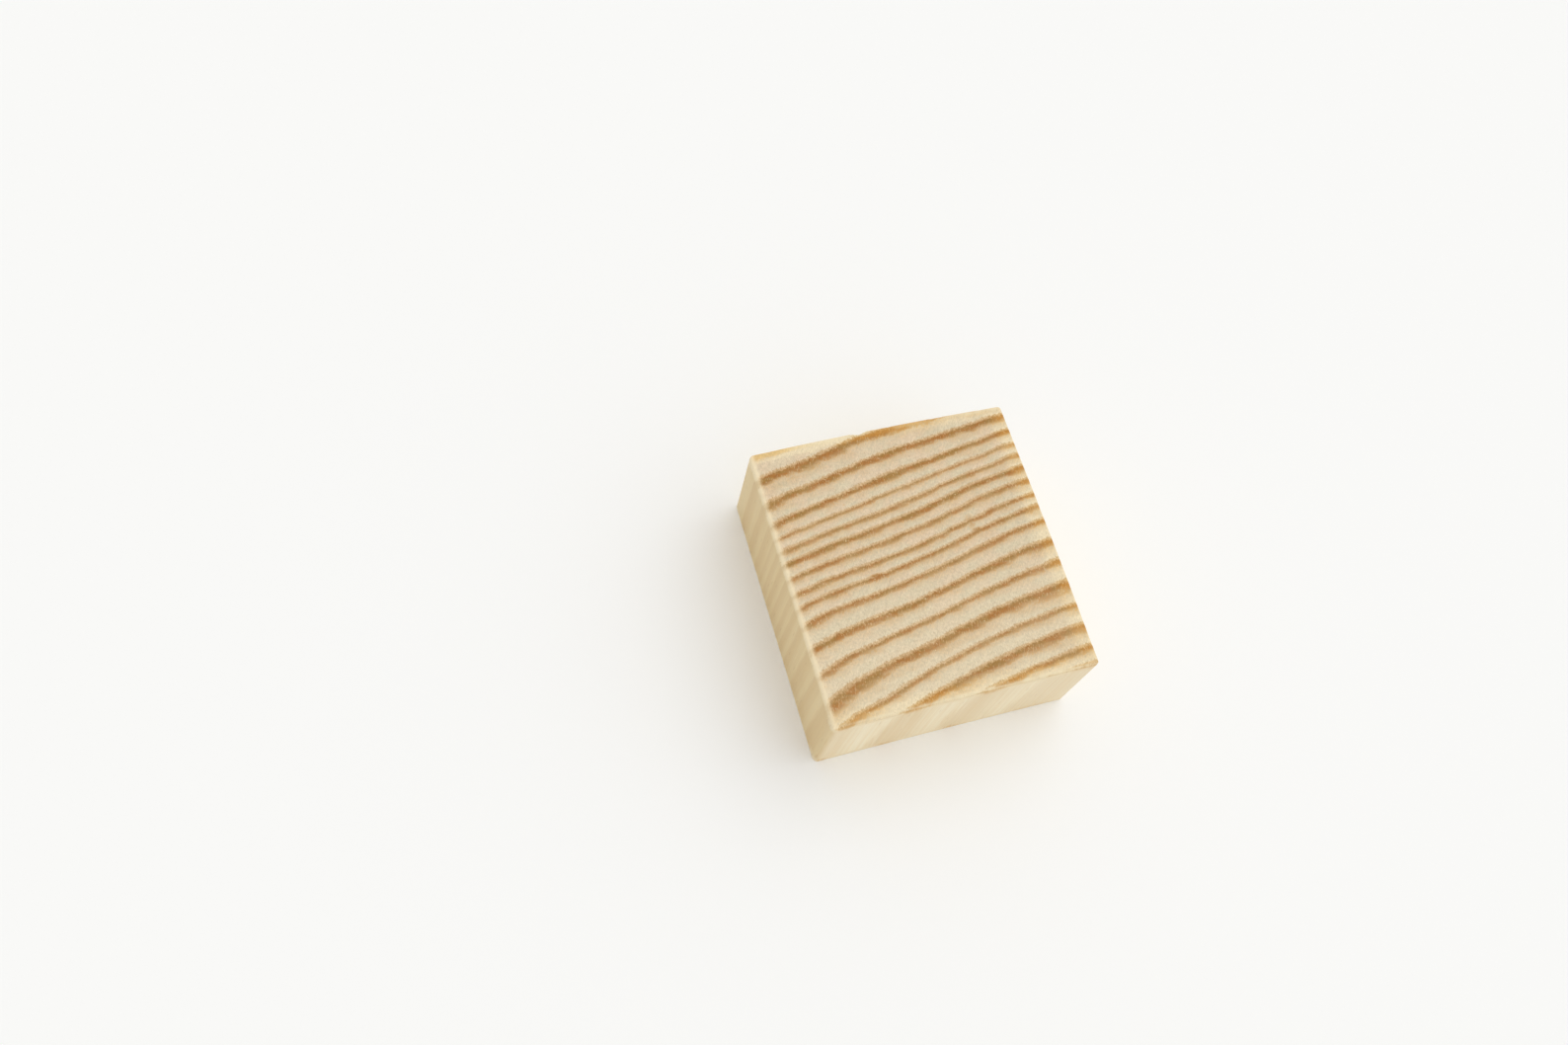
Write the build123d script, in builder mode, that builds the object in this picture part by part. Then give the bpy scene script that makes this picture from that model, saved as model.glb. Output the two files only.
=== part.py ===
"""A square slice of pine batten, sawn across the grain, lying on one of its sawn ends.

The two sawn ends face up and down. X runs along the growth rings, Y runs across them,
away from the tree's pith, and Z runs along the grain. The origin is the middle of the
underside. Units are millimetres.
"""

from build123d import *
from math import cos, exp, hypot, pi, radians, sqrt, tan
import os

# Overall size of the slice
width = 40.0
depth = 42.4
thickness = 16.5

# How far each planed side of the batten has moved out of flat as it dried
back_bow = 0.30
front_cup = 0.10
right_bow = 0.15

# Rounded long arrises of the batten, one radius for each corner of its section
back_left_round = 0.90
back_right_round = 0.55
front_right_round = 0.70
front_left_round = 0.85

# Eased arrises round the upper sawn end; those round the underside are as the saw left them
top_left_ease = 0.55
top_right_ease = 0.22
top_front_ease = 0.50
top_back_ease = 0.20

# A tapering flat rubbed on the front arris, wider at its left end
rubbed_flat_left = 0.65
rubbed_flat_right = 0.40

# A splinter torn from the back arris by the saw
chip_length = 2.6
chip_depth = 0.32
chip_from_left = 17.0

# The pith of the tree, measured from the middle of the upper face
pith_right = 23.0
pith_in_front = 113.0

# The grain leans a little, so each ring shifts between the upper face and the underside
grain_lean_right = 0.9
grain_lean_back = 1.7

# Growth rings from the bark side inwards: each year's growth and its hard late wood
outermost_ring_from_pith = 136.0
year_widths = (3.7, 3.0, 2.3, 2.05, 1.9, 2.25, 2.3, 2.0, 2.4, 3.25, 3.1, 3.5, 3.35, 3.2, 3.05, 3.0)
late_wood_widths = (0.7, 0.6, 0.55, 0.35, 0.45, 0.55, 0.5, 0.5, 0.45, 0.45, 0.65, 0.5, 0.8, 0.5, 0.7, 0.5)

# The rings are pressed in towards the pith across the middle of the slice
dent_depth = 1.1
dent_half_wave = 25.0
dent_reach = 16.4
dent_right = 0.4
dent_back = 1.3

# The saw leaves the hard late wood standing above the soft early wood
ring_relief = 0.08
ring_curve_points = 9
settling_passes = 4

# Waste that a cut takes beyond the wood, so that it never ends on a face
overcut = 1.0

# Values worked out from those above
half_width = width / 2
half_depth = depth / 2
reach = half_width + overcut
underside_shift_right = thickness * tan(radians(grain_lean_right))
underside_shift_back = thickness * tan(radians(grain_lean_back))
ring_steps = [2 * index / (ring_curve_points - 1) - 1 for index in range(ring_curve_points)]


def dent(x, y):
    """Return how far a ring is pressed towards the pith at a place on the slice."""
    wave = cos(pi * (x - dent_right) / dent_half_wave)
    return dent_depth * wave * exp(-(((y - dent_back) / dent_reach) ** 2))


def ring_points(radius, shift_x, shift_y):
    """Return points along one growth ring, from the left side of the slice to the right."""
    pith_x = pith_right + shift_x
    pith_y = shift_y - pith_in_front
    points = []
    for step in ring_steps:
        x = step * reach
        y = pith_y + sqrt(radius**2 - (x - pith_x) ** 2)
        for _ in range(settling_passes):
            pressed = radius - dent(x - shift_x, y - shift_y)
            y = pith_y + sqrt(pressed**2 - (x - pith_x) ** 2)
        points.append((x, y))
    return points


def early_wood_bands():
    """Return the inner and outer radius of each band of soft early wood on the slice."""
    farthest = hypot(half_width + pith_right, half_depth + pith_in_front) + overcut
    nearest = pith_in_front - half_depth - dent_depth - overcut
    bands = []
    outer = farthest
    late_edge = outermost_ring_from_pith
    year = 0
    while late_edge > nearest:
        bands.append((late_edge, outer))
        outer = late_edge - late_wood_widths[year % len(late_wood_widths)]
        late_edge -= year_widths[year % len(year_widths)]
        year += 1
    return bands


def side_profile(plane, half_length, left_ease, right_ease):
    """Return the slice's outline seen from a side, rounded at its two upper corners."""
    upper_left = (-half_length, thickness)
    upper_right = (half_length, thickness)
    with BuildSketch(plane) as profile:
        with BuildLine():
            Polyline((-half_length, 0), (half_length, 0), upper_right, upper_left, close=True)
        make_face()
        for corner, ease in ((upper_left, left_ease), (upper_right, right_ease)):
            fillet(profile.vertices().sort_by_distance((*corner, 0))[0], ease)
    return profile.sketch


with BuildPart() as wood_block:
    # The batten's own section, with three of its sides bowed as it dried
    with BuildSketch():
        back_left = (-half_width, half_depth - back_bow)
        back_right = (half_width - right_bow, half_depth - back_bow)
        front_right = (half_width - right_bow, -half_depth)
        front_left = (-half_width, -half_depth)
        with BuildLine():
            Line(front_left, back_left)
            ThreePointArc(back_left, (0, half_depth), back_right)
            ThreePointArc(back_right, (half_width, 0), front_right)
            ThreePointArc(front_right, (0, -half_depth + front_cup), front_left)
        make_face()
        section_rounds = (
            (back_left, back_left_round),
            (back_right, back_right_round),
            (front_right, front_right_round),
            (front_left, front_left_round),
        )
        for corner, radius in section_rounds:
            fillet(vertices().sort_by_distance((*corner, 0))[0], radius)
    extrude(amount=thickness)

    # The arrises round the upper sawn end, eased on the left and front and crisper elsewhere
    across_profile = side_profile(Plane.XZ, half_width, top_left_ease, top_right_ease)
    extrude(across_profile, amount=depth, both=True, mode=Mode.INTERSECT)
    along_profile = side_profile(Plane.YZ, half_depth, top_front_ease, top_back_ease)
    extrude(along_profile, amount=width, both=True, mode=Mode.INTERSECT)

    # The flat rubbed on the front arris, tapering from left to right
    for end_x, flat in ((-reach, rubbed_flat_left), (reach, rubbed_flat_right)):
        front_corner = Plane((end_x, -half_depth, thickness), x_dir=(0, 1, 0), z_dir=(1, 0, 0))
        top_end = (flat + overcut, overcut)
        front_end = (-overcut, -flat - overcut)
        with BuildSketch(front_corner):
            with BuildLine():
                Polyline((-overcut, overcut), top_end, front_end, close=True)
            make_face()
    loft(mode=Mode.SUBTRACT)

    # The splinter torn from the back arris
    chip_radius = (chip_length / 2) ** 2 / (2 * chip_depth) + chip_depth / 2
    chip_centre_y = half_depth - chip_depth + chip_radius
    with Locations((chip_from_left - half_width, chip_centre_y, thickness)):
        Sphere(chip_radius, mode=Mode.SUBTRACT)

    # The soft early wood lies below the late wood on both sawn ends
    upper_face = (thickness - ring_relief, 0, 0)
    underside = (-overcut, underside_shift_right, underside_shift_back)
    for floor_height, shift_x, shift_y in (upper_face, underside):
        with BuildSketch(Plane.XY.offset(floor_height)):
            for inner_radius, outer_radius in early_wood_bands():
                with BuildLine():
                    inner = Spline(*ring_points(inner_radius, shift_x, shift_y))
                    outer = Spline(*ring_points(outer_radius, shift_x, shift_y))
                    Line(inner @ 0, outer @ 0)
                    Line(inner @ 1, outer @ 1)
                make_face()
        extrude(amount=ring_relief + overcut, mode=Mode.SUBTRACT)

wood_block.part.label = "wood_block"

os.makedirs("parts", exist_ok=True)
export_step(wood_block.part, "parts/wood_block.step")
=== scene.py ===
"""The looks of a square slice of pine batten, sawn across the grain, on a white table.

The frame gives the slice's box. X runs along the growth rings, Y across them towards the bark,
and Z along the grain. Design sizes are in millimetres, and everything Blender holds is in metres.
"""

import logging
import math
from collections.abc import Callable, Mapping
from dataclasses import dataclass, field
from enum import Enum
from functools import partial

import bpy
import numpy as np
from mathutils import Matrix, Vector


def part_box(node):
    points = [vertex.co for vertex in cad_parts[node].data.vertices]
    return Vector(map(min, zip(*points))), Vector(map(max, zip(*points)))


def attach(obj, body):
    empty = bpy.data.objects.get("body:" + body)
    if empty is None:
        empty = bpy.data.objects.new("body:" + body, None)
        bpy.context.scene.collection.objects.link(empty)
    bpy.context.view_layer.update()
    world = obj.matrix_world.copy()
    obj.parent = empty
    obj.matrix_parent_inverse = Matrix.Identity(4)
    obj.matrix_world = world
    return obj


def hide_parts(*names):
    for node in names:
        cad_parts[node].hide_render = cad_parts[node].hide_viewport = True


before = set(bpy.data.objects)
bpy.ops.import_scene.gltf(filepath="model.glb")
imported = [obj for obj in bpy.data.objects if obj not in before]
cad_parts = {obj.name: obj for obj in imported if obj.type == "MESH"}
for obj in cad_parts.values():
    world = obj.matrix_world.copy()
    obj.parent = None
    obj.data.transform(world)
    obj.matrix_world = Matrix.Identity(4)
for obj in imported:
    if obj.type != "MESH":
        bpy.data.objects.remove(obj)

log = logging.getLogger("wood_block")

MM = 0.001
NODE = "wood_block"
BODY = "root"

# What the slice's mesh holds at each of its points
GROWTH = "growth"
LATE_WOOD = "late_wood"
END_GRAIN = "end_grain"
PALE_RIM = "pale_rim"
AMBER_RIM = "amber_rim"
TORN = "torn"

# The kinds of node that are used most, and a setting that goes with one of them
MATH = "ShaderNodeMath"
VECTOR_MATH = "ShaderNodeVectorMath"
MAP_RANGE = "ShaderNodeMapRange"
MIX = "ShaderNodeMix"
SMOOTHLY = {"interpolation_type": "SMOOTHSTEP"}

Points = np.ndarray
Object = bpy.types.Object
Material = bpy.types.Material
Node = bpy.types.Node
Socket = bpy.types.NodeSocket
NodeTree = bpy.types.NodeTree

# Low and high going in, and then, where they aren't nought and one, what they become
Span = tuple[float, ...]


class Side(Enum):
    """The four planed sides of the batten, seen with the upper sawn end towards the eye."""

    LEFT = "left"
    RIGHT = "right"
    FRONT = "front"
    BACK = "back"


def linear(hex_colour: str) -> tuple[float, float, float, float]:
    """Turn an sRGB hex colour into the linear colour that a socket takes.

    Args:
        hex_colour: Six hex digits after a hash sign.

    Returns:
        Linear red, green and blue, with an alpha of one.
    """
    parts = [int(hex_colour[start:start + 2], 16) / 255 for start in (1, 3, 5)]
    red, green, blue = (p / 12.92 if p <= 0.04045 else ((p + 0.055) / 1.055) ** 2.4 for p in parts)
    return red, green, blue, 1.0


def add_node(
    tree: NodeTree, kind: str, *values: object, named: Mapping | None = None, **settings: object
) -> Node:
    """Add a node, set its properties, and fill or link its inputs.

    Args:
        tree: The tree that the node joins.
        kind: The node's Blender type name.
        *values: What goes into the inputs that the node has in use, in their order. A node stands
            for its first output in use, and a hex colour for its linear value.
        named: Input name to value, for inputs that are filled by name.
        **settings: The node's own properties.

    Returns:
        The new node.
    """
    made = tree.nodes.new(kind)
    for name, value in settings.items():
        setattr(made, name, value)
    filled = list(zip([socket for socket in made.inputs if socket.enabled], values))
    filled += [(made.inputs[name], value) for name, value in (named or {}).items()]
    for socket, value in filled:
        if isinstance(value, Node):
            value = next(output for output in value.outputs if output.enabled)
        if isinstance(value, Socket):
            tree.links.new(value, socket)
        elif isinstance(value, str) and value.startswith("#"):
            socket.default_value = linear(value)
        else:
            socket.default_value = value
    return made


def put_in_scene(name: str, data: bpy.types.ID) -> Object:
    """Make an object and link it to the scene.

    Args:
        name: The object's name.
        data: Its mesh, camera or lamp.

    Returns:
        The object.
    """
    made = bpy.data.objects.new(name, data)
    bpy.context.scene.collection.objects.link(made)
    return made


def smooth(start: float, end: float, value: Points) -> Points:
    """Return the smooth step from nought at the start to one at the end."""
    share = np.clip((value - start) / (end - start), 0.0, 1.0)
    return share * share * (3.0 - 2.0 * share)


@dataclass(frozen=True)
class Waver:
    """Smooth unevenness over a plane, the same each time, in millimetres."""

    size: float
    amount: float
    seed: int
    cells: int = 97

    def at(self, x: Points, y: Points) -> Points:
        """Return the unevenness at each place.

        Args:
            x: Places along X.
            y: Places along Y.

        Returns:
            One value for each place, between minus and plus the amount.
        """
        heights = np.random.default_rng(self.seed).uniform(-1.0, 1.0, (self.cells, self.cells))
        across, along = x / self.size, y / self.size
        column, row = np.floor(across).astype(int), np.floor(along).astype(int)
        right, up = smooth(0.0, 1.0, across - column), smooth(0.0, 1.0, along - row)
        near = [heights[(column + step) % self.cells, row % self.cells] for step in (0, 1)]
        far = [heights[(column + step) % self.cells, (row + 1) % self.cells] for step in (0, 1)]
        near_row = near[0] + (near[1] - near[0]) * right
        far_row = far[0] + (far[1] - far[0]) * right
        return self.amount * (near_row + (far_row - near_row) * up)


@dataclass(frozen=True)
class Swell:
    """A place where the growth rings lie farther out than true circles, or farther in."""

    x: float
    y: float
    reach_x: float
    reach_y: float
    outwards: float

    def at(self, x: Points, y: Points) -> Points:
        """Return how far outwards the rings lie at each place, in millimetres."""
        across, along = (x - self.x) / self.reach_x, (y - self.y) / self.reach_y
        return self.outwards * np.exp(-(across**2) - along**2)


@dataclass(frozen=True)
class Rim:
    """A band along an arris that fades from its full strength to nothing, in millimetres."""

    strength: float
    fades_from: float
    fades_to: float

    def at(self, distance: Points) -> Points:
        """Return the band's strength at each distance from its arris."""
        return self.strength - self.strength * smooth(self.fades_from, self.fades_to, distance)


@dataclass(frozen=True)
class GrowthRings:
    """The batten's growth rings, as radii about the pith of the tree, in millimetres."""

    pith_right: float = 23.0
    pith_in_front: float = 113.0
    upper_face: float = 16.5
    lean_right_degrees: float = 0.9
    lean_back_degrees: float = 1.7

    # The outermost ring's radius, and from it inwards each year's growth, its late wood and how dark that is
    outermost: float = 136.1
    years: tuple[float, ...] = (
        3.70, 3.05, 2.41, 1.93, 1.88, 2.26, 2.34, 1.99, 2.33, 3.19, 3.29, 3.28, 3.51, 3.09, 3.23, 2.27, 3.00,
    )
    late_wood: tuple[float, ...] = (
        1.50, 1.12, 0.99, 0.60, 0.78, 0.98, 0.85, 0.80, 0.84, 0.93, 1.15, 0.95, 1.52, 0.94, 1.37, 0.90, 0.90,
    )
    darkness: tuple[float, ...] = (
        1.0, 0.95, 0.91, 0.75, 0.78, 0.91, 0.82, 0.82, 0.82, 0.83, 0.89, 0.80, 0.88, 0.76, 0.86, 0.84, 0.60,
    )

    # Where the rings leave true circles: the dent across the slice, its swells and its small wavers
    dent_depth: float = 1.1
    dent_half_wave: float = 25.0
    dent_reach: float = 16.4
    dent_right: float = 0.4
    dent_back: float = 1.3
    wavers: tuple[Waver, ...] = (Waver(5.2, 0.05, 11), Waver(2.1, 0.08, 12), Waver(0.9, 0.035, 13))
    swells: tuple[Swell, ...] = (
        Swell(-2.5, 17.0, 6.5, 7.0, 0.44),
        Swell(-18.5, -9.0, 8.5, 10.0, 0.54),
        Swell(18.5, 15.5, 3.0, 5.0, 0.44),
        Swell(-19.5, 16.5, 6.0, 4.0, 0.54),
        Swell(7.0, -9.0, 6.5, 9.0, 0.26),
        Swell(12.0, 21.5, 8.5, 2.5, -0.20),
        Swell(-10.5, -18.5, 4.0, 2.5, -0.46),
        Swell(13.0, 8.5, 5.0, 2.5, 0.30),
        Swell(18.0, -17.2, 3.5, 2.6, 0.36),
    )

    # Late wood comes in gradually and stops sharply at the year's end, in shares of its own width
    comes_in: Span = (0.7, 1.4)
    stops: Span = (0.0, 0.3)

    def radius(self, points: Points) -> Points:
        """Return each point's distance from the pith, counted as its ring lies.

        Args:
            points: Rows of x, y and z in millimetres.

        Returns:
            One radius for each row, in millimetres.
        """
        below = self.upper_face - points[:, 2]
        x = points[:, 0] - below * math.tan(math.radians(self.lean_right_degrees))
        y = points[:, 1] - below * math.tan(math.radians(self.lean_back_degrees))
        wave = np.cos(np.pi * (x - self.dent_right) / self.dent_half_wave)
        dent = self.dent_depth * wave * np.exp(-(((y - self.dent_back) / self.dent_reach) ** 2))
        uneven = sum(waver.at(x, y) for waver in self.wavers) - sum(swell.at(x, y) for swell in self.swells)
        return np.hypot(x - self.pith_right, y + self.pith_in_front) + dent + uneven

    def growth(self, points: Points) -> Points:
        """Return each point's age in years, from the oldest ring of the slice outwards.

        Args:
            points: Rows of x, y and z in millimetres.

        Returns:
            Years, whose whole part is the ring and whose fraction is the season.
        """
        bark = self.outermost + self.years[0]
        edges = np.concatenate([[bark, self.outermost], self.outermost - np.cumsum(self.years)])
        ages = np.arange(len(edges), dtype=float)
        return np.interp(self.radius(points), edges[::-1], ages)

    def years_outwards(self) -> list[tuple[float, float, float]]:
        """Return each ring's year width, late wood width and darkness, oldest ring first."""
        return list(zip(self.years, self.late_wood, self.darkness))[::-1]

    def late(self, points: Points) -> Points:
        """Return how far each point is into the hard late wood, from nought to one.

        Args:
            points: Rows of x, y and z in millimetres.

        Returns:
            One value for each row.
        """
        age = self.growth(points)
        ring = np.clip(age.astype(int), 0, len(self.years) - 1)
        season = age - np.floor(age)
        year, late, _ = np.array(self.years_outwards())[ring].T
        to_end = (1.0 - season) * year / late
        inside = (1.0 - smooth(*self.comes_in, to_end)) * smooth(*self.stops, to_end)
        return np.where(age < len(self.years), inside, 0.0)


@dataclass
class SlicedBlock:
    """The slice itself: a batten's section sawn through, with eased arrises, in millimetres."""

    low: Vector
    high: Vector
    rings: GrowthRings
    bows: dict[Side, float] = field(
        default_factory=lambda: {Side.LEFT: 0.0, Side.RIGHT: 0.15, Side.FRONT: 0.10, Side.BACK: 0.30}
    )
    eases: dict[Side, float] = field(
        default_factory=lambda: {Side.LEFT: 0.55, Side.RIGHT: 0.22, Side.FRONT: 0.50, Side.BACK: 0.20}
    )
    long_rounds: dict[tuple[Side, Side], float] = field(
        default_factory=lambda: {
            (Side.LEFT, Side.BACK): 0.90,
            (Side.RIGHT, Side.BACK): 0.55,
            (Side.RIGHT, Side.FRONT): 0.70,
            (Side.LEFT, Side.FRONT): 0.85,
        }
    )
    underside_ease: float = 0.12
    rubbed_flats: tuple[float, float] = (0.65, 0.40)

    # The chip torn from the back arris, whose hollow has a ragged wall
    chip_length: float = 2.6
    chip_depth: float = 0.32
    chip_x: float = -3.0
    chip_ragged: float = 0.06
    chip_ripples: tuple[float, float, float] = (9.0, 4.0, 2.0)

    # Small losses along the upper arrises, drawn out along the grain
    nicks: tuple[Waver, ...] = (Waver(1.9, 0.30, 21), Waver(0.55, 0.14, 22))
    nick_stretch: float = 0.4
    dings: Waver = Waver(2.6, 0.09, 23)
    ding_stretch: float = 0.5
    least_ding: float = 0.16

    # Rims rubbed pale, and rims where the ring ends are amber, which reach less far down the sides
    pale_left: Rim = Rim(1.0, 0.20, 1.10)
    pale_front: Rim = Rim(1.0, 0.12, 0.70)
    pale_back: Rim = Rim(0.7, 0.15, 0.60)
    amber_right: Rim = Rim(0.75, 0.20, 4.00)
    amber_front: Rim = Rim(0.72, 0.60, 3.20)
    amber_back: Rim = Rim(1.0, 0.45, 2.20)
    down_the_side: float = 1.6
    rim_wavers: tuple[Waver, Waver] = (Waver(1.1, 0.16, 31), Waver(0.45, 0.08, 32))

    # The back's pale rim is more ragged. Along X it begins, and has a gap where ring 1 runs out of the
    # back side. The amber rim there gets stronger and weaker along X
    fringe: float = 1.4
    pale_back_begins: Span = (-15.0, -9.0)
    gap_begins: Span = (-3.0, 0.0)
    gap_ends: Span = (9.0, 13.0)
    gap_depth: float = 0.8
    back_amber_x: tuple[float, ...] = (-16.0, -13.0, -9.0, -5.0, 0.0, 5.0, 9.0, 13.0)
    back_amber: tuple[float, ...] = (1.0, 0.88, 0.82, 0.78, 0.80, 0.92, 0.84, 0.62)

    # Where the upright share of a normal makes end grain, and how far the torn wood reaches
    end_grain_share: Span = (0.35, 0.85)
    torn_reach: Span = (0.05, 0.35)

    # The grid that the mesh starts from
    edge_zone: float = 1.3
    edge_lines: int = 8
    pitch_across: float = 0.262
    pitch_along_grain: float = 0.42
    halvings: int = 26

    def __post_init__(self) -> None:
        """Work out the slice's half sizes from the frame's box."""
        self.half_width = (self.high.x - self.low.x) / 2 / MM
        self.half_depth = self.high.y / MM
        self.thickness = self.high.z / MM

    def _side_gaps(self, points: Points) -> dict[Side, Points]:
        """Return how far each point is outside each bowed side of the batten.

        Args:
            points: Rows of x, y and z.

        Returns:
            One distance for each row, for each side.
        """
        x, y = points[:, 0], points[:, 1]
        along_x = (x / self.half_width) ** 2
        along_y = (y / self.half_depth) ** 2
        return {
            Side.LEFT: -self.half_width - x,
            Side.RIGHT: x - self.half_width + self.bows[Side.RIGHT] * along_y,
            Side.FRONT: -self.half_depth + self.bows[Side.FRONT] * (1.0 - along_x) - y,
            Side.BACK: y - self.half_depth + self.bows[Side.BACK] * along_x,
        }

    @staticmethod
    def _rounded(first: Points, second: Points, radius: float) -> Points:
        """Return how far points are outside two rounded-off faces, from how far they are outside each."""
        a, b = first + radius, second + radius
        return np.minimum(np.maximum(a, b), 0.0) + np.hypot(np.maximum(a, 0.0), np.maximum(b, 0.0)) - radius

    def _chip_gap(self, points: Points) -> Points:
        """Return how far each point is outside the ball that the torn chip leaves.

        Args:
            points: Rows of x, y and z.

        Returns:
            One distance for each row.
        """
        x, _, z = points.T
        radius = (self.chip_length / 2) ** 2 / (2 * self.chip_depth) + self.chip_depth / 2
        centre = np.array([self.chip_x, self.half_depth - self.chip_depth + radius, self.thickness])
        along, slant, down = self.chip_ripples
        ragged = self.chip_ragged * np.sin(x * along) * np.sin(z * down + x * slant)
        return np.linalg.norm(points - centre, axis=1) - radius + ragged

    def outside(self, points: Points) -> Points:
        """Return how far each point is outside the slice, negative within it.

        Args:
            points: Rows of x, y and z.

        Returns:
            One distance for each row.
        """
        gaps = self._side_gaps(points)
        x, y, z = points.T
        above, below = z - self.thickness, -z
        parts = [self._rounded(gaps[a], gaps[b], radius) for (a, b), radius in self.long_rounds.items()]
        for side, ease in self.eases.items():
            parts.append(self._rounded(gaps[side], above, ease))
            parts.append(self._rounded(gaps[side], below, self.underside_ease))
        left_flat, right_flat = self.rubbed_flats
        flat = left_flat + (right_flat - left_flat) * (x / self.half_width + 1.0) / 2.0
        nicks = np.maximum(sum(waver.at(x, self.nick_stretch * z) for waver in self.nicks), 0.0)
        ding = np.maximum(self.dings.at(x + y, self.ding_stretch * z), 0.0) + self.least_ding
        losses = (
            (flat, -self.half_depth - y),
            (nicks, gaps[Side.BACK]),
            (ding, gaps[Side.LEFT]),
            (ding, gaps[Side.RIGHT]),
        )
        parts += [(loss + gap + above) / math.sqrt(2.0) for loss, gap in losses]
        parts.append(-self._chip_gap(points))
        return np.max(parts, axis=0)

    def _rims(self, points: Points) -> tuple[Points, Points]:
        """Return how far each point is in a rubbed pale rim, and in a rim with amber ring ends.

        Args:
            points: Rows of x, y and z.

        Returns:
            Two shares for each row.
        """
        x, y, z = points.T
        to_end = self.down_the_side * np.minimum(z, self.thickness - z)
        uneven = sum(waver.at(x, y) for waver in self.rim_wavers)
        from_arris = {side: np.maximum(-gap, to_end) for side, gap in self._side_gaps(points).items()}
        ragged = {side: distance + uneven for side, distance in from_arris.items()}
        pale_back = self.pale_back.at(from_arris[Side.BACK] + self.fringe * uneven)
        pale_back *= smooth(*self.pale_back_begins, x)
        pale_back *= 1.0 - self.gap_depth * smooth(*self.gap_begins, x) * (1.0 - smooth(*self.gap_ends, x))
        pale = [self.pale_left.at(ragged[Side.LEFT]), self.pale_front.at(ragged[Side.FRONT]), pale_back]
        amber_back = np.interp(x, self.back_amber_x, self.back_amber) * self.amber_back.at(ragged[Side.BACK])
        amber = [self.amber_right.at(ragged[Side.RIGHT]), self.amber_front.at(ragged[Side.FRONT]), amber_back]
        return np.max(pale, axis=0), np.max(amber, axis=0)

    def _axis_lines(self, low: float, high: float, pitch: float) -> Points:
        """Return grid lines from one end to the other, closer together near both ends.

        Args:
            low: The first line.
            high: The last line.
            pitch: About how far apart the middle lines are.

        Returns:
            Where the lines are.
        """
        share = (np.arange(self.edge_lines) / self.edge_lines) * self.edge_zone
        count = max(2, round((high - low - 2 * self.edge_zone) / pitch))
        middle = np.linspace(low + self.edge_zone, high - self.edge_zone, count + 1)
        return np.concatenate([low + share, middle, (high - share)[::-1]])

    def _lattice(self) -> tuple[Points, Points]:
        """Return the closed grid on the slice's box.

        Returns:
            Its points, and its faces as rows of four point numbers.
        """
        axes = [
            self._axis_lines(-self.half_width, self.half_width, self.pitch_across),
            self._axis_lines(-self.half_depth, self.half_depth, self.pitch_across),
            self._axis_lines(0.0, self.thickness, self.pitch_along_grain),
        ]
        quads = []
        for fixed in range(3):
            first, second = (fixed + 1) % 3, (fixed + 2) % 3
            a, b = np.meshgrid(np.arange(len(axes[first])), np.arange(len(axes[second])), indexing="ij")
            for end in (0, len(axes[fixed]) - 1):
                grid = np.zeros((*a.shape, 3), int)
                grid[..., fixed], grid[..., first], grid[..., second] = end, a, b
                corners = (grid[:-1, :-1], grid[1:, :-1], grid[1:, 1:], grid[:-1, 1:])
                face = np.stack(corners, axis=2).reshape(-1, 4, 3)
                quads.append(face if end else face[:, ::-1])
        keys, faces = np.unique(np.concatenate(quads).reshape(-1, 3), axis=0, return_inverse=True)
        points = np.stack([axes[axis][keys[:, axis]] for axis in range(3)], axis=1)
        return points, faces.reshape(-1, 4)

    def _pulled_in(self, outer: Points) -> Points:
        """Return the box's points moved straight inwards onto the slice's own surface.

        Args:
            outer: Rows of x, y and z on the box.

        Returns:
            As many rows on the slice.
        """
        low = np.array([-self.half_width, -self.half_depth, 0.0]) + self.edge_zone
        high = np.array([self.half_width, self.half_depth, self.thickness]) - self.edge_zone
        inner = np.clip(outer, low, high)
        near, far = np.zeros(len(outer)), np.ones(len(outer))
        for _ in range(self.halvings):
            middle = (near + far) / 2
            out = self.outside(inner + (outer - inner) * middle[:, None]) > 0.0
            far = np.where(out, middle, far)
            near = np.where(out, near, middle)
        return inner + (outer - inner) * near[:, None]

    def build(self) -> Object:
        """Build the slice as one closed mesh that knows its rings, end grain and arrises.

        Returns:
            The new object, linked to the scene.
        """
        outer, faces = self._lattice()
        points = self._pulled_in(outer)
        mesh = bpy.data.meshes.new("pine_slice")
        mesh.from_pydata((points * MM).tolist(), [], faces.tolist())
        mesh.update()
        normals = np.zeros(len(points) * 3)
        mesh.vertex_normals.foreach_get("vector", normals)
        upright = np.abs(normals.reshape(-1, 3)[:, 2])
        pale, amber = self._rims(points)
        values = {
            GROWTH: self.rings.growth(points),
            LATE_WOOD: self.rings.late(points),
            END_GRAIN: smooth(*self.end_grain_share, upright),
            PALE_RIM: pale,
            AMBER_RIM: amber,
            TORN: 1.0 - smooth(*self.torn_reach, np.abs(self._chip_gap(points))),
        }
        for name, value in values.items():
            attribute = mesh.attributes.new(name, "FLOAT", "POINT")
            attribute.data.foreach_set("value", value.astype(np.float32))
        mesh.shade_smooth()
        return put_in_scene("pine_slice", mesh)


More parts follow.
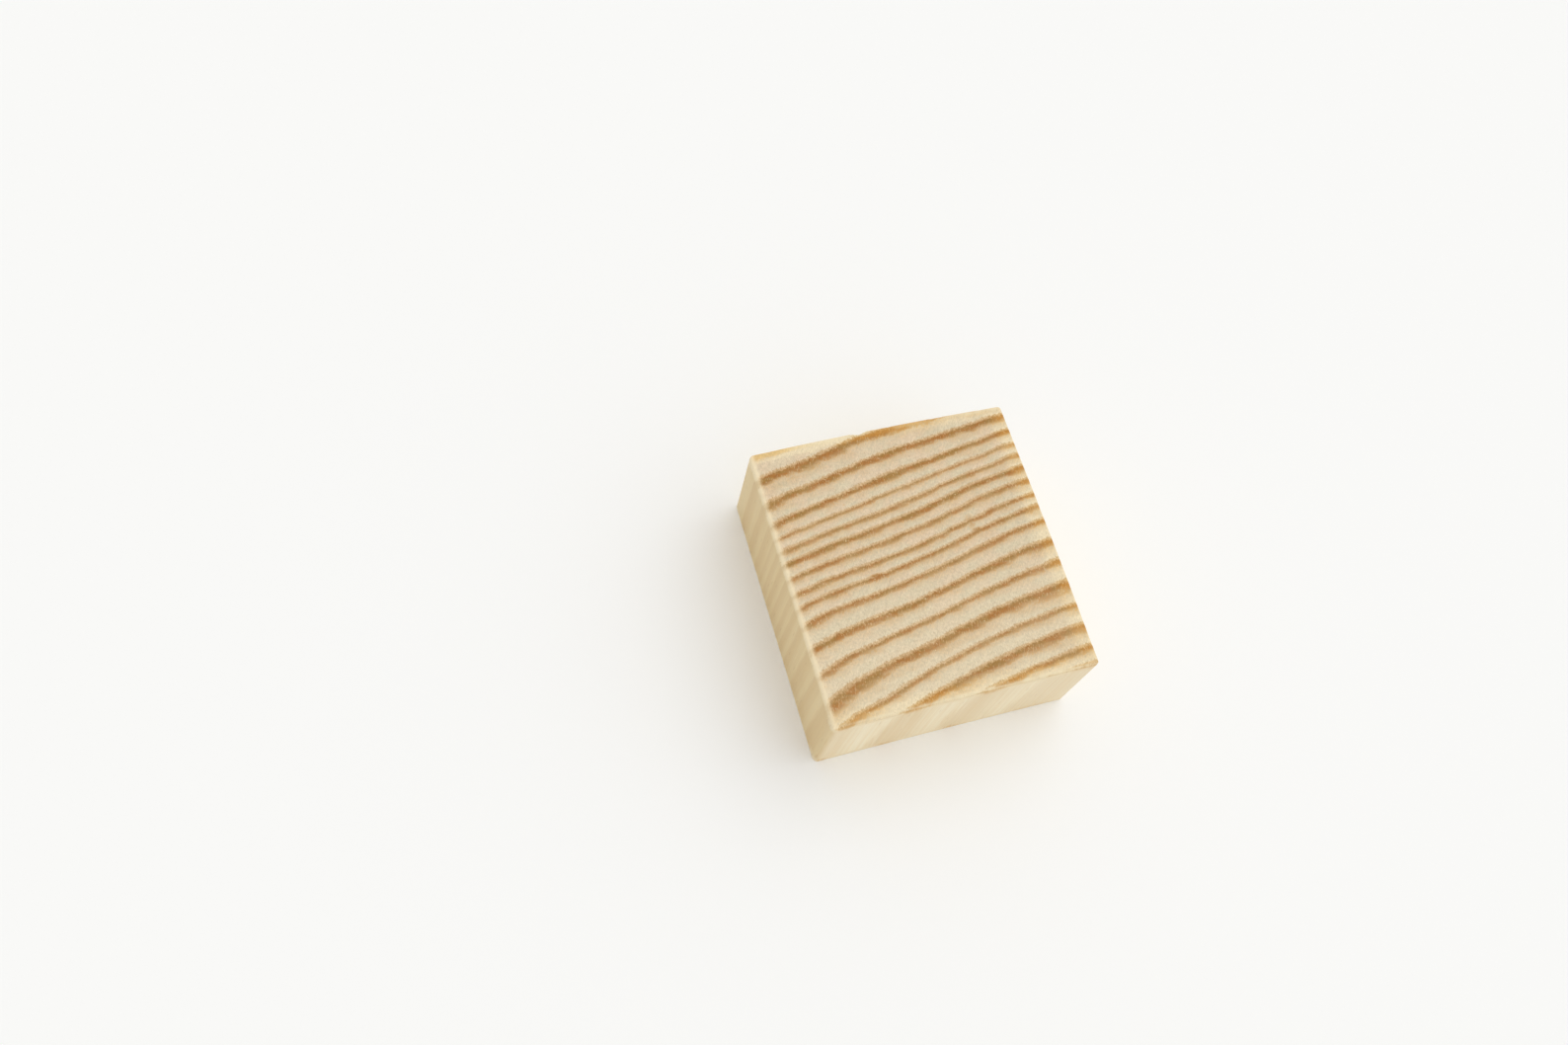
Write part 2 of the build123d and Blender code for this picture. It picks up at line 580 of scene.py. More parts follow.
def run_tree(
    piece: Object, name: str, sizes: Mapping[str, float], nodes: Callable[..., Node], finish: Material
) -> None:
    """Run a Geometry Nodes tree on a piece and keep its result as the piece's own plain mesh.

    Args:
        piece: The object whose mesh is replaced.
        name: The tree's name.
        sizes: Value for each of the tree's named inputs.
        nodes: What adds the tree's own nodes, from the tree and its inputs by name, and returns
            the last of them.
        finish: The material of the result.
    """
    tree = bpy.data.node_groups.new(name, "GeometryNodeTree")
    tree.interface.new_socket("Geometry", in_out="OUTPUT", socket_type="NodeSocketGeometry")
    tree.interface.new_socket("Geometry", in_out="INPUT", socket_type="NodeSocketGeometry")
    for size in sizes:
        tree.interface.new_socket(size, in_out="INPUT", socket_type="NodeSocketFloat")
    last = nodes(tree, add_node(tree, "NodeGroupInput").outputs)
    real = add_node(tree, "GeometryNodeRealizeInstances", last)
    dressed = add_node(tree, "GeometryNodeSetMaterial", named={"Geometry": real, "Material": finish})
    add_node(tree, "NodeGroupOutput", dressed)
    modifier = piece.modifiers.new(name, "NODES")
    modifier.node_group = tree
    for item in tree.interface.items_tree:
        if item.item_type == "SOCKET" and item.in_out == "INPUT" and item.name in sizes:
            modifier[item.identifier] = sizes[item.name]
    graph = bpy.context.evaluated_depsgraph_get()
    result = bpy.data.meshes.new_from_object(piece.evaluated_get(graph), depsgraph=graph)
    old = piece.data
    piece.modifiers.remove(modifier)
    piece.data = result
    result.name = piece.name
    bpy.data.meshes.remove(old)


@dataclass(frozen=True)
class SawnRelief:
    """What the saw and the plane leave on the surface, as a Geometry Nodes tree, in millimetres."""

    ring_relief: float = 0.08
    saw_fuzz: float = 0.035
    fuzz_size: float = 0.45
    fuzz_detail: float = 2.0
    raised_grain: float = 0.012
    grain_size: float = 0.6
    grain_detail: float = 3.0
    grain_stretch: float = 0.06
    rubbed_smooth: float = 0.9

    def _nodes(self, tree: NodeTree, given: Mapping[str, Socket]) -> Node:
        """Sink the soft early wood and roughen the sawn ends.

        Args:
            tree: The Geometry Nodes tree.
            given: Its inputs by name.

        Returns:
            The node that gives the carved surface.
        """
        add = partial(add_node, tree)
        late, end, rubbed = (
            add("GeometryNodeInputNamedAttribute", name, data_type="FLOAT")
            for name in (LATE_WOOD, END_GRAIN, PALE_RIM)
        )
        place = add("GeometryNodeInputPosition")
        drawn_out = add(VECTOR_MATH, place, (1.0, 1.0, self.grain_stretch), operation="MULTIPLY")
        fuzz_scale = add(MATH, 1.0, given["Fuzz size"], operation="DIVIDE")
        grain_scale = add(MATH, 1.0, given["Grain size"], operation="DIVIDE")
        fuzz = add("ShaderNodeTexNoise", place, fuzz_scale, self.fuzz_detail)
        grain = add("ShaderNodeTexNoise", drawn_out, grain_scale, self.grain_detail)
        early = add(MATH, 1.0, late, operation="SUBTRACT")
        sunk = add(MATH, early, given["Ring relief"], operation="MULTIPLY")
        sawn = add(MATH, fuzz, given["Saw fuzz"], sunk, operation="MULTIPLY_ADD")
        planed = add(MATH, grain, given["Raised grain"], operation="MULTIPLY")
        depth = add(MIX, end, planed, sawn, data_type="FLOAT")
        left = add(MATH, rubbed, self.rubbed_smooth, -1.0, operation="MULTIPLY_ADD")
        inwards = add(MATH, depth, left, operation="MULTIPLY")
        shift = add(VECTOR_MATH, add("GeometryNodeInputNormal"), inwards, operation="SCALE")
        return add("GeometryNodeSetPosition", named={"Geometry": given["Geometry"], "Offset": shift})

    def carve(self, block: Object, finish: Material) -> None:
        """Carve the relief into a block and give it its material.

        Args:
            block: The block.
            finish: The material that its surface gets.
        """
        sizes = {
            "Ring relief": self.ring_relief * MM,
            "Saw fuzz": self.saw_fuzz * MM,
            "Fuzz size": self.fuzz_size * MM,
            "Raised grain": self.raised_grain * MM,
            "Grain size": self.grain_size * MM,
        }
        run_tree(block, "sawn_relief", sizes, self._nodes, finish)


@dataclass(frozen=True)
class SawFuzz:
    """Loose fibre ends that the saw leaves lying in the soft early wood, in millimetres."""

    per_square_mm: float = 1.5
    length: float = 0.55
    radius: float = 0.02
    sides: int = 4
    size_range: tuple[float, float] = (0.45, 1.15)
    most_tilt_degrees: float = 2.0
    hardest: float = 0.2
    flattest: float = 0.99
    seed: int = 7

    def _nodes(self, tree: NodeTree, given: Mapping[str, Socket]) -> Node:
        """Strew short fibres over the early wood of both sawn ends.

        Args:
            tree: The Geometry Nodes tree.
            given: Its inputs by name.

        Returns:
            The node that gives the fibres.
        """
        add = partial(add_node, tree)
        late, end, pale, amber = (
            add("GeometryNodeInputNamedAttribute", name, data_type="FLOAT")
            for name in (LATE_WOOD, END_GRAIN, PALE_RIM, AMBER_RIM)
        )
        hard = add(MATH, late, pale, operation="MAXIMUM")
        hard = add(MATH, hard, amber, operation="MAXIMUM")
        soft = add(MATH, hard, self.hardest, operation="LESS_THAN")
        flat = add(MATH, end, self.flattest, operation="GREATER_THAN")
        where = add(MATH, soft, flat, operation="MULTIPLY")
        density = add(MATH, where, given["Fibres per area"], operation="MULTIPLY")
        strewn = add(
            "GeometryNodeDistributePointsOnFaces",
            named={"Mesh": given["Geometry"], "Density": density, "Seed": self.seed},
        )
        fibre = add(
            "GeometryNodeMeshCone",
            named={
                "Vertices": self.sides, "Radius Top": 0.0, "Radius Bottom": given["Fibre radius"],
                "Depth": given["Fibre length"],
            },
        )
        laid = add("GeometryNodeTransform", named={"Geometry": fibre, "Rotation": (0.0, math.pi / 2, 0.0)})
        ranges = ((0.0, given["Most tilt"]), (0.0, math.tau), self.size_range)
        tilt, turn, size = (
            add("FunctionNodeRandomValue", least, most, named={"Seed": self.seed + step}, data_type="FLOAT")
            for step, (least, most) in enumerate(ranges, start=1)
        )
        facing = add("FunctionNodeEulerToRotation", add("ShaderNodeCombineXYZ", 0.0, tilt, turn))
        return add(
            "GeometryNodeInstanceOnPoints",
            named={"Points": strewn, "Instance": laid, "Rotation": facing, "Scale": size},
        )

    def build(self, block: Object, finish: Material) -> Object:
        """Build the fibres that lie on a block.

        Args:
            block: The block that they lie on, with what its mesh knows of its rings.
            finish: The material of the fibres.

        Returns:
            The new object, linked to the scene.
        """
        sizes = {
            "Fibres per area": self.per_square_mm / MM**2,
            "Fibre length": self.length * MM,
            "Fibre radius": self.radius * MM,
            "Most tilt": math.radians(self.most_tilt_degrees),
        }
        made = put_in_scene("saw_fuzz", block.data.copy())
        run_tree(made, "saw_fuzz", sizes, self._nodes, finish)
        return made


def blank_material(name: str) -> Material:
    """Return a new material whose tree is empty.

    Args:
        name: The material's name.

    Returns:
        The material.
    """
    material = bpy.data.materials.new(name)
    material.use_nodes = True
    material.node_tree.nodes.clear()
    return material


def place_in_mm(tree: NodeTree) -> Node:
    """Return Object coordinates in which one unit is a millimetre."""
    place = add_node(tree, "ShaderNodeTexCoord").outputs["Object"]
    return add_node(tree, VECTOR_MATH, place, 1.0 / MM, operation="SCALE")


def layered(tree: NodeTree, ground: Node | str, *layers: tuple[Node, Node | str]) -> Node:
    """Lay colours over one another.

    Args:
        tree: The material's tree.
        ground: The lowest colour.
        *layers: How far each other colour covers those below it, and the colour, lowest first.

    Returns:
        The colour that shows.
    """
    for share, colour in layers:
        ground = add_node(tree, MIX, share, ground, colour, data_type="RGBA")
    return ground


@dataclass(frozen=True)
class Lumps:
    """Noise whose lumps have a real size along X, Y and Z, in millimetres."""

    size: tuple[float, float, float]
    detail: float
    turned_degrees: float = 0.0
    span: Span = ()

    def build(self, tree: NodeTree, in_mm: Node) -> Node:
        """Add the noise to a material.

        Args:
            tree: The material's tree.
            in_mm: Where on the piece, in millimetres.

        Returns:
            The noise, mostly from 0.25 to 0.75, or what its span makes of it.
        """
        angles = (0.0, 0.0, -math.radians(self.turned_degrees))
        spun = add_node(tree, "ShaderNodeMapping", named={"Vector": in_mm, "Rotation": angles})
        per_mm = tuple(1.0 / length for length in self.size)
        scaled = add_node(tree, VECTOR_MATH, spun, per_mm, operation="MULTIPLY")
        noise = add_node(tree, "ShaderNodeTexNoise", scaled, 1.0, self.detail)
        return add_node(tree, MAP_RANGE, noise, *self.span, **SMOOTHLY) if self.span else noise


@dataclass(frozen=True)
class ResinFleck:
    """A brown mark with soft, frayed edges, in millimetres."""

    x: float
    y: float
    half_x: float
    half_y: float
    strength: float
    fades: Span = (0.1, 1.3, 1.0, 0.0)
    frays: Span = (0.3, 0.7, 0.6, 1.3)

    def build(self, tree: NodeTree, in_mm: Node, fibre: Node) -> Node:
        """Add the mark to a material.

        Args:
            tree: The material's tree.
            in_mm: Where on the piece, in millimetres.
            fibre: The noise that frays the mark.

        Returns:
            How far each place is in the mark.
        """
        add = partial(add_node, tree)
        offset = add(VECTOR_MATH, in_mm, (self.x, self.y, 0.0), operation="SUBTRACT")
        squash = (1.0 / self.half_x, 1.0 / self.half_y, 0.0)
        scaled = add(VECTOR_MATH, offset, squash, operation="MULTIPLY")
        far = add(VECTOR_MATH, scaled, operation="LENGTH")
        spot = add(MAP_RANGE, far, *self.fades, **SMOOTHLY)
        frayed = add(MATH, spot, add(MAP_RANGE, fibre, *self.frays, **SMOOTHLY), operation="MULTIPLY")
        return add(MATH, frayed, self.strength, operation="MULTIPLY")


@dataclass(frozen=True)
class Pores:
    """Resin canals or open pores, as dots on end grain and dashes along the grain, in millimetres."""

    spacing: float
    radius: float
    length: float
    left_out: float
    strength: float

    def build(self, tree: NodeTree, in_mm: Node) -> Node:
        """Add the pores to a material.

        Args:
            tree: The material's tree.
            in_mm: Where on the piece, in millimetres.

        Returns:
            How far each place is in a pore.
        """
        add = partial(add_node, tree)
        per_mm = (1.0 / self.spacing, 1.0 / self.spacing, 1.0 / self.length)
        scaled = add(VECTOR_MATH, in_mm, per_mm, operation="MULTIPLY")
        cells = add("ShaderNodeTexVoronoi", scaled, 1.0).outputs
        reach = self.radius / self.spacing
        dot = add(MAP_RANGE, cells["Distance"], reach / 2, reach, 1.0, 0.0, **SMOOTHLY)
        chance = add("ShaderNodeSeparateColor", cells["Color"])
        kept = add(MATH, chance, self.left_out, operation="GREATER_THAN")
        dot = add(MATH, dot, kept, operation="MULTIPLY")
        return add(MATH, dot, self.strength, operation="MULTIPLY")


@dataclass(frozen=True)
class LateWood:
    """The brown late wood, from each ring's own width and darkness, in millimetres."""

    rings: GrowthRings
    flecks: tuple[ResinFleck, ...] = (
        ResinFleck(8.9, 3.8, 1.0, 1.50, 0.48),
        ResinFleck(9.5, 2.4, 1.1, 0.50, 0.75),
        ResinFleck(-7.0, -1.2, 1.9, 0.55, 0.85),
        ResinFleck(-8.5, 10.45, 0.3, 0.20, 0.35),
    )
    after_the_last_ring: float = 0.7

    # How the fine noises fray a ring's edges, in years
    fibre_frays: Span = (0.2, 0.8, -0.045, 0.045)
    fleck_frays: Span = (0.25, 0.75, -0.03, 0.03)

    # How the width and the darkness vary along a ring, and how it widens towards both sides
    width: Lumps = Lumps((3.4, 1.3, 40.0), 2.0, span=(0.3, 0.7, 0.84, 1.18))
    widens_sideways: Span = (8.0, 17.0, 1.0, 1.14)
    shade: Lumps = Lumps((2.6, 0.9, 40.0), 2.0, span=(0.3, 0.7, 1.0, 0.84))
    ticks: Lumps = Lumps((0.15, 0.55, 4.0), 2.0, turned_degrees=-14.0, span=(0.56, 0.68, 1.0, 0.62))

    # Back from the year's end, in shares of the late wood: its sharp edge, its core and its halo
    sharp_edge: float = 0.34
    core_fades: tuple[float, float] = (0.45, 1.50)
    halo_fades: tuple[float, float] = (0.8, 2.3)
    at_the_end: float = 0.5
    halo_strength: float = 0.30
    side_strength: float = 0.50

    # What shows on past the year's end
    spring_fades: Span = (0.0, 0.42, 0.42, 0.0)
    side_spring_fades: Span = (0.0, 0.45, 0.36, 0.0)

    def _ring_sizes(self, tree: NodeTree, age: Node) -> tuple[Node, Socket, Node]:
        """Add a look-up of each ring's own sizes.

        Args:
            tree: The material's tree.
            age: Years from the oldest ring of the slice outwards.

        Returns:
            Its late wood width, how dark that is, and its year width.
        """
        add = partial(add_node, tree)
        rings = self.rings.years_outwards()
        widest = max(self.rings.years)
        middle = add(MATH, add(MATH, age, operation="FLOOR"), 0.5, operation="ADD")
        ramp = add("ShaderNodeValToRGB", add(MATH, middle, len(rings) + 1.0, operation="DIVIDE"))
        ramp.color_ramp.interpolation = "CONSTANT"
        stops = ramp.color_ramp.elements
        while len(stops) > 1:
            stops.remove(stops[-1])
        for index, (year, late, darkness) in enumerate([*rings, (widest, self.after_the_last_ring, 0.0)]):
            stop = stops[0] if index == 0 else stops.new(index / (len(rings) + 1))
            stop.color = (late / widest, darkness, year / widest, 1.0)
        late, darkness, year = add("ShaderNodeSeparateColor", ramp).outputs
        late, year = (add(MATH, share, widest, operation="MULTIPLY") for share in (late, year))
        return late, darkness, year

    def build(self, tree: NodeTree, in_mm: Node, fibre: Node, fleck: Node) -> tuple[Node, Node]:
        """Add the late wood to a material.

        Args:
            tree: The material's tree.
            in_mm: Where on the piece, in millimetres.
            fibre: Fine noise that frays the edges of a ring.
            fleck: Coarser noise that varies a ring along its length.

        Returns:
            Late wood on a sawn end, and on a planed side.
        """
        add = partial(add_node, tree)
        growth = add("ShaderNodeAttribute", attribute_name=GROWTH).outputs["Fac"]
        fray = add(
            MATH, add(MAP_RANGE, fibre, *self.fibre_frays, **SMOOTHLY),
            add(MAP_RANGE, fleck, *self.fleck_frays, **SMOOTHLY), operation="ADD",
        )
        age = add(MATH, growth, fray, operation="ADD")
        season = add(MATH, age, operation="FRACT")
        late, darkness, year = self._ring_sizes(tree, age)
        sideways = add(MATH, add("ShaderNodeSeparateXYZ", in_mm), operation="ABSOLUTE")
        widened = add(MAP_RANGE, sideways, *self.widens_sideways, **SMOOTHLY)
        for factor in (self.width.build(tree, in_mm), widened):
            late = add(MATH, late, factor, operation="MULTIPLY")

        # Millimetres from here to the year's end, and since the last year's end
        to_end = add(MATH, add(MATH, 1.0, season, operation="SUBTRACT"), year, operation="MULTIPLY")
        since_end = add(MATH, season, year, operation="MULTIPLY")
        edge, core_from, core_to, halo_from, halo_to = (
            add(MATH, late, share, operation="MULTIPLY")
            for share in (self.sharp_edge, *self.core_fades, *self.halo_fades)
        )
        core = add(
            MATH, add(MAP_RANGE, to_end, core_from, core_to, 1.0, 0.0, **SMOOTHLY),
            add(MAP_RANGE, to_end, 0.0, edge, self.at_the_end, 1.0, **SMOOTHLY), operation="MULTIPLY",
        )
        for factor in (darkness, self.shade.build(tree, in_mm), self.ticks.build(tree, in_mm)):
            core = add(MATH, core, factor, operation="MULTIPLY")
        halo = add(MAP_RANGE, to_end, halo_from, halo_to, self.halo_strength, 0.0, **SMOOTHLY)
        spring = add(MAP_RANGE, since_end, *self.spring_fades, **SMOOTHLY)
        on_end = core
        for mark in (halo, spring, *(spot.build(tree, in_mm, fibre) for spot in self.flecks)):
            on_end = add(MATH, on_end, mark, operation="MAXIMUM")
        stripe = add(MAP_RANGE, to_end, edge, halo_to, self.side_strength, 0.0, **SMOOTHLY)
        stripe = add(MATH, stripe, darkness, operation="MULTIPLY")
        side_spring = add(MAP_RANGE, since_end, *self.side_spring_fades, **SMOOTHLY)
        return on_end, add(MATH, stripe, side_spring, operation="MAXIMUM")


@dataclass(frozen=True)
class BarePine:
    """Unfinished Scots pine: pale sapwood, with brown late wood and resin canals."""

    late_wood: LateWood
    name: str = "bare_pine"

    # Sawn ends
    end_early: str = "#DCCDAD"
    end_early_warm: str = "#E2CBAB"
    end_front: str = "#E4D4B3"
    end_late: str = "#AC7438"
    end_late_golden: str = "#A57D42"
    end_halo: str = "#D5B384"

    # Planed sides
    side_early: str = "#F6EACC"
    side_early_warm: str = "#F1E0BC"
    # The left side's darker tan is partly the wood's own tone and partly painted shade
    left_side_tan_and_shade: str = "#E4CA94"
    side_late: str = "#D6B581"

    # Rims along the arrises
    pale_rim: str = "#F3E3BE"
    pale_left_rim: str = "#F8E6C0"
    pale_late: str = "#E5CB9B"
    rim_early: str = "#EFDDB8"
    rim_late: str = "#DCB87F"
    amber_late: str = "#C3893D"
    golden_early: str = "#F1D190"
    golden_late: str = "#E7C07E"

    canal: str = "#EBD9AE"
    pore: str = "#B9925E"
    torn_wood: str = "#EBD7A8"

    # Fibre ends are a few hundredths of a millimetre, drawn coarser so that they show
    fibre: Lumps = Lumps((0.14, 0.36, 3.5), 3.0)
    fleck: Lumps = Lumps((0.38, 0.38, 6.0), 2.0)
    planed: Lumps = Lumps((0.13, 0.13, 7.0), 3.0, span=(0.25, 0.75, 0.98, 1.02))
    canals: Pores = Pores(1.2, 0.13, 16.0, 0.5, 0.55)
    pores: Pores = Pores(0.6, 0.10, 6.0, 0.55, 0.28)

    # The saw's scratches, and where the early wood is warm, the late wood golden and a side streaked
    scratch: Lumps = Lumps((0.16, 3.0, 9.0), 2.0, turned_degrees=-38.0)
    warm: Lumps = Lumps((3.2, 2.2, 22.0), 3.0, span=(0.35, 0.65))
    golden_brown: Lumps = Lumps((2.4, 1.1, 40.0), 2.0, span=(0.38, 0.62))
    streaks: Lumps = Lumps((0.5, 0.7, 30.0), 3.0, span=(0.3, 0.7))

    # Where each other colour comes in, by how amber or late the wood is, or by place
    front_from: Span = (4.0, -20.0, 0.0, 0.8)
    near_arris_from: Span = (0.0, 0.7)
    amber_from: Span = (0.18, 0.75)
    golden_from: Span = (0.76, 1.0)
    halo_from: Span = (0.0, 0.5)
    late_from: Span = (0.28, 0.95)
    # Towards the left side, a darker tan that is partly the wood's own tone and partly painted shade
    left_tan_and_shade_span: Span = (-19.0, -20.0, 0.0, 0.75)
    left_rim_from: Span = (-18.4, -19.4)
    pale_late_share: float = 0.75
    pale_share: float = 0.92
    torn_share: float = 0.8

    # How much lighter or darker the noises make a sawn end
    fibre_tones: Span = (0.25, 0.75, 0.90, 1.08)
    fleck_tones: Span = (0.3, 0.7, 0.94, 1.05)
    scratch_tones: Span = (0.3, 0.7, 0.96, 1.03)

    # Planed sides shine a little more than the open ends of the fibres, and are smoother
    roughness: Span = (0.0, 1.0, 0.55, 0.85)
    rise: Span = (0.0, 1.0, 0.3, 1.0)
    scratch_rise: float = 0.5
    bump_strength: float = 0.6
    bump_height: float = 0.05
    ior: float = 1.53
    specular: float = 0.3

    def build(self) -> Material:
        """Build the material's nodes.

        Returns:
            The material.
        """
        # Bare softwood is matt, and a solid thing: the same rings show on its sides as stripes
        material = blank_material(self.name)
        tree = material.node_tree
        add, over, in_mm = partial(add_node, tree), partial(layered, tree), place_in_mm(tree)
        end, pale, amber, torn = (
            add("ShaderNodeAttribute", attribute_name=name).outputs["Fac"]
            for name in (END_GRAIN, PALE_RIM, AMBER_RIM, TORN)
        )
        fibre, fleck, scratch, planed = (
            lumps.build(tree, in_mm) for lumps in (self.fibre, self.fleck, self.scratch, self.planed)
        )
        warm, golden_brown, streaks = (
            lumps.build(tree, in_mm) for lumps in (self.warm, self.golden_brown, self.streaks)
        )
        late_end, late_side = self.late_wood.build(tree, in_mm, fibre, fleck)
        x_mm, y_mm, _ = add("ShaderNodeSeparateXYZ", in_mm).outputs
        sources = (
            (y_mm, self.front_from), (amber, self.near_arris_from), (amber, self.amber_from),
            (amber, self.golden_from), (late_end, self.halo_from), (late_end, self.late_from),
            (x_mm, self.left_tan_and_shade_span), (x_mm, self.left_rim_from),
        )
        front, near_arris, amber, golden, halo, late, on_left_tan_and_shade, left_rim = (
            add(MAP_RANGE, source, *span, **SMOOTHLY) for source, span in sources
        )

        # Near the arrises the early wood is paler and the late wood amber, and in places both are golden
        early_rim = over(self.rim_early, (golden, self.golden_early))
        late_rim = over(self.amber_late, (golden, self.golden_late))
        halo_colour = over(self.end_halo, (near_arris, self.rim_late))
        late_colour = over(self.end_late, (golden_brown, self.end_late_golden), (amber, late_rim))
        wood_end = over(
            self.end_early, (warm, self.end_early_warm), (front, self.end_front), (near_arris, early_rim),
            (halo, halo_colour), (late, late_colour),
        )
        # Near the left side the planed wood takes a darker tan, partly its own tone and partly painted shade
        wood_side = over(
            self.side_early, (streaks, self.side_early_warm), (on_left_tan_and_shade, self.left_side_tan_and_shade),
            (late_side, self.side_late), (near_arris, over(early_rim, (late, self.rim_late))),
        )
        partly = ((late, self.pale_late_share), (pale, self.pale_share), (torn, self.torn_share))
        on_late, on_rim, on_torn = (add(MATH, where, share, operation="MULTIPLY") for where, share in partly)
        rubbed_rim = over(self.pale_rim, (left_rim, self.pale_left_rim), (on_late, self.pale_late))
        wood = over(
            wood_side, (end, wood_end), (on_rim, rubbed_rim), (on_torn, self.torn_wood),
            (self.canals.build(tree, in_mm), self.canal), (self.pores.build(tree, in_mm), self.pore),
        )

        tones = ((fibre, self.fibre_tones), (fleck, self.fleck_tones), (scratch, self.scratch_tones))
        sawn = 1.0
        for noise, span in tones:
            sawn = add(MATH, sawn, add(MAP_RANGE, noise, *span, **SMOOTHLY), operation="MULTIPLY")
        open_grain = add(MATH, end, add(MATH, 1.0, pale, operation="SUBTRACT"), operation="MULTIPLY")
        tone = add(MIX, open_grain, planed, sawn, data_type="FLOAT")
        colour = add(VECTOR_MATH, wood, tone, operation="SCALE")

        roughness = add(MAP_RANGE, open_grain, *self.roughness, **SMOOTHLY)
        rise = add(MATH, scratch, self.scratch_rise, fibre, operation="MULTIPLY_ADD")
        height = add(MATH, rise, add(MAP_RANGE, open_grain, *self.rise, **SMOOTHLY), operation="MULTIPLY")
        bump = add(
            "ShaderNodeBump",
            named={"Strength": self.bump_strength, "Distance": self.bump_height * MM, "Height": height},
        )
        shader = add(
            "ShaderNodeBsdfPrincipled",
            named={
                "Base Color": colour, "Roughness": roughness, "IOR": self.ior,
                "Specular IOR Level": self.specular, "Normal": bump,
            },
        )
        add("ShaderNodeOutputMaterial", shader)
        return material


@dataclass(frozen=True)
class LooseFibre:
    """Torn pine fibre: paler than the wood it came from, and matt."""

    name: str = "loose_pine_fibre"
    pale: str = "#EADBB8"
    tan: str = "#D9BE8E"
    tones: Lumps = Lumps((1.5, 1.5, 1.5), 2.0, span=(0.35, 0.65))
    roughness: float = 0.8
    ior: float = 1.53

    def build(self) -> Material:
        """Build the material's nodes.

        Returns:
            The material.
        """
        # Each fibre is one tone of straw, from cream to tan
        material = blank_material(self.name)
        tree = material.node_tree
        colour = layered(tree, self.pale, (self.tones.build(tree, place_in_mm(tree)), self.tan))
        shader = add_node(
            tree, "ShaderNodeBsdfPrincipled",
            named={"Base Color": colour, "Roughness": self.roughness, "IOR": self.ior},
        )
        add_node(tree, "ShaderNodeOutputMaterial", shader)
        return material


@dataclass(frozen=True)
class Camera:
    """The camera that took the picture, in the slice's own frame, in millimetres."""

    place: tuple[float, float, float] = (-66.27, -62.62, 198.05)
    aim: tuple[float, float, float] = (-13.43, 16.23, 0.0)
    roll_degrees: float = 19.17
    focal_pixels: float = 1436.9
    image_width: float = 1588.0
    sensor_width: float = 36.0
    nearest: float = 5.0
    farthest: float = 20_000.0

    def build(self) -> Object:
        """Add the camera and make it the scene's own.

        Returns:
            The camera object.
        """
        data = bpy.data.cameras.new("camera")
        data.sensor_fit = "HORIZONTAL"
        data.sensor_width = self.sensor_width
        data.lens = self.focal_pixels / self.image_width * self.sensor_width
        data.clip_start = self.nearest * MM
        data.clip_end = self.farthest * MM
        made = put_in_scene("camera", data)
        place = Vector(self.place)
        level = (place - Vector(self.aim)).to_track_quat("Z", "Y").to_matrix().to_4x4()
        roll = Matrix.Rotation(math.radians(self.roll_degrees), 4, "Z")
        made.matrix_world = Matrix.Translation(place * MM) @ level @ roll
        bpy.context.scene.camera = made
        return made


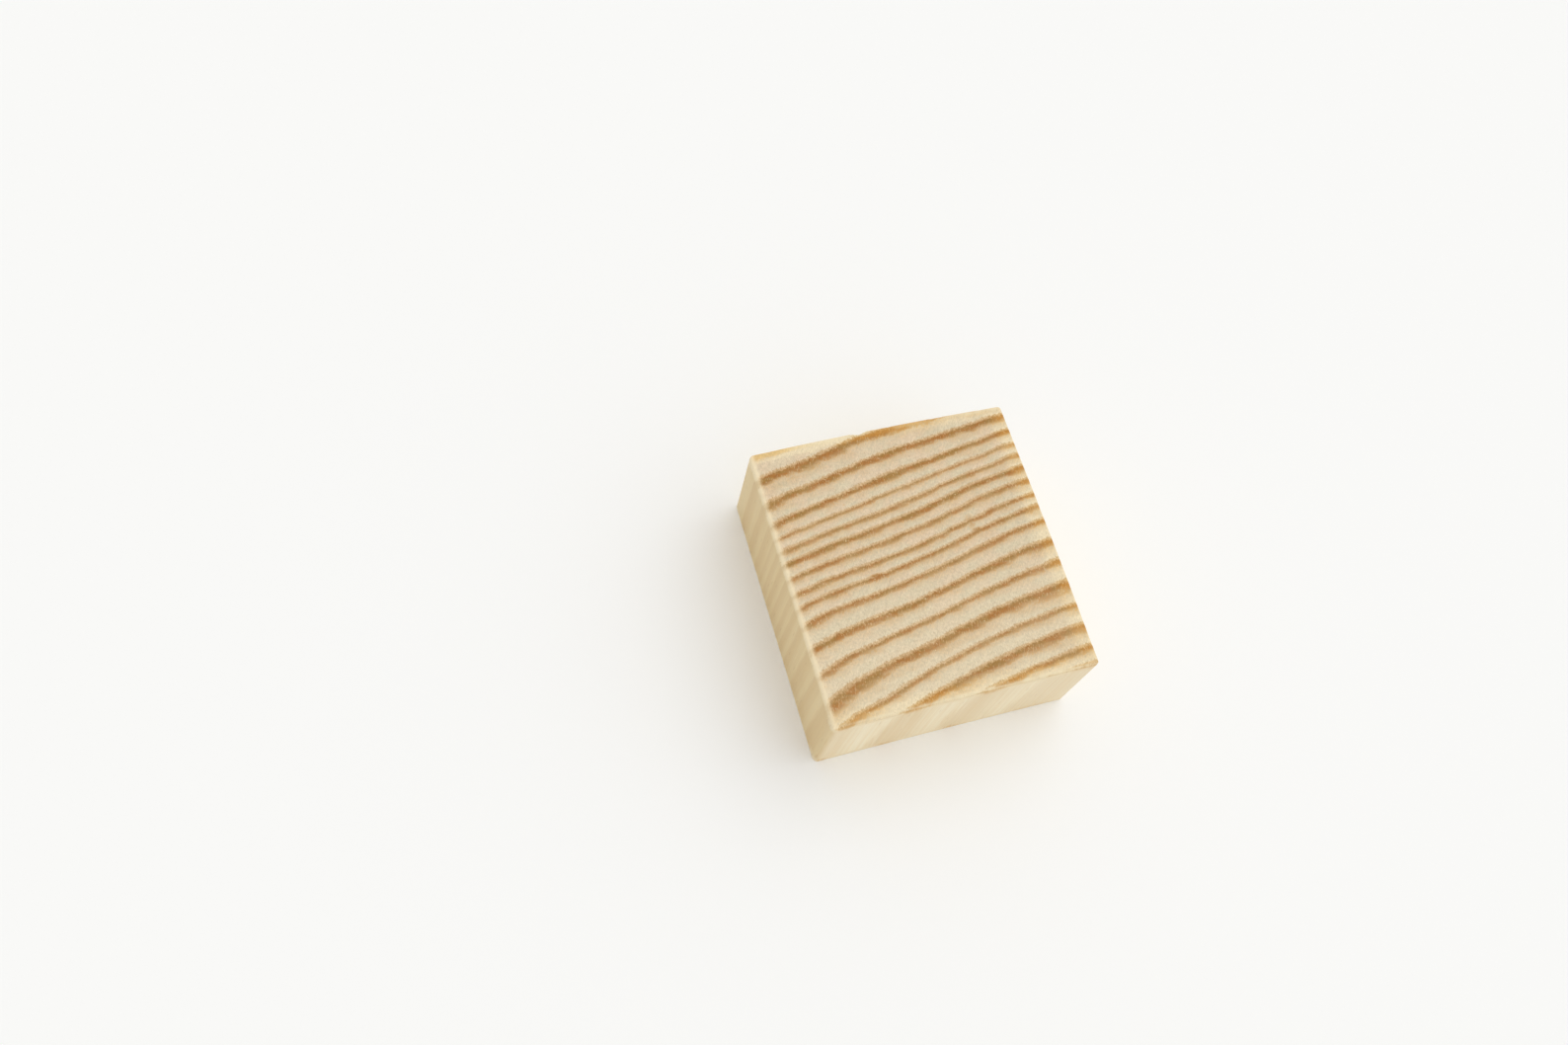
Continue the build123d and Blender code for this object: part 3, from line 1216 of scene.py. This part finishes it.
@dataclass(frozen=True)
class Studio:
    """A plain white table under soft daylight, in metres."""

    floor_size: float = 40.0
    floor_colour: str = "#FBFBF9"
    horizon_colour: str = "#F9F9F7"
    sky_colour: str = "#FFFFFF"

    # The sky is brighter towards +X, in shares of its strength and of its height of one
    sky_strength: float = 0.89
    sky_slope: float = 0.32
    slope_reach: float = 0.8

    # The window is a broad soft lamp
    key_strength: float = 0.34
    key_spread_degrees: float = 50.0
    key_towards: tuple[float, float, float] = (0.38, 0.22, 0.75)

    def _floor(self) -> None:
        """Add the table top, which isn't part of the object."""
        half = self.floor_size / 2
        corners = [(-half, -half, 0), (half, -half, 0), (half, half, 0), (-half, half, 0)]
        mesh = bpy.data.meshes.new("table_top")
        mesh.from_pydata(corners, [], [(0, 1, 2, 3)])
        floor = put_in_scene("table_top", mesh)
        matt = blank_material("white_table")
        paint = add_node(matt.node_tree, "ShaderNodeBsdfDiffuse", self.floor_colour)
        add_node(matt.node_tree, "ShaderNodeOutputMaterial", paint)
        mesh.materials.append(matt)

    def _sky(self) -> None:
        """Add the world: daylight on the object, and a plain pale horizon wherever it is seen."""
        world = bpy.data.worlds.new("soft_daylight")
        world.use_nodes = True
        world.node_tree.nodes.clear()
        add = partial(add_node, world.node_tree)
        towards = add("ShaderNodeTexCoord").outputs["Generated"]
        sideways = add("ShaderNodeSeparateXYZ", towards)
        strengths = [self.sky_strength * (1.0 + slope) for slope in (-self.sky_slope, self.sky_slope)]
        glow = add(MAP_RANGE, sideways, -self.slope_reach, self.slope_reach, *strengths)
        light = add("ShaderNodeBackground", self.sky_colour, glow)
        seen = add("ShaderNodeBackground", self.horizon_colour, 1.0)
        path = add("ShaderNodeLightPath").outputs
        direct = add(MATH, path["Is Camera Ray"], path["Is Glossy Ray"], operation="MAXIMUM")
        direct = add(MATH, direct, path["Is Transmission Ray"], operation="MAXIMUM")
        add("ShaderNodeOutputWorld", add("ShaderNodeMixShader", direct, light, seen))
        bpy.context.scene.world = world

    def _window(self) -> None:
        """Add the lamp that gives the soft shadow."""
        lamp = bpy.data.lights.new("window", "SUN")
        lamp.angle = math.radians(self.key_spread_degrees)
        lamp.energy = self.key_strength
        made = put_in_scene("window", lamp)
        made.location = self.key_towards
        made.rotation_euler = Vector(self.key_towards).to_track_quat("Z", "Y").to_euler()

    def build(self) -> None:
        """Add the floor, the world and the lamp, and show colours plainly."""
        self._floor()
        self._sky()
        self._window()
        bpy.context.scene.view_settings.view_transform = "Standard"


def main() -> None:
    """Build the camera, the studio and the block, and say what was made."""
    logging.basicConfig(level=logging.INFO, format="%(message)s")
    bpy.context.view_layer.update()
    Camera().build()
    Studio().build()
    low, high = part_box(NODE)
    rings = GrowthRings()
    block = SlicedBlock(low=low, high=high, rings=rings).build()
    SawnRelief().carve(block, BarePine(late_wood=LateWood(rings=rings)).build())
    fuzz = SawFuzz().build(block, LooseFibre().build())
    for piece in (block, fuzz):
        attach(piece, BODY)
        log.info("%s: %d faces", piece.name, len(piece.data.polygons))
    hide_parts(NODE)


if __name__ == "__main__":
    main()
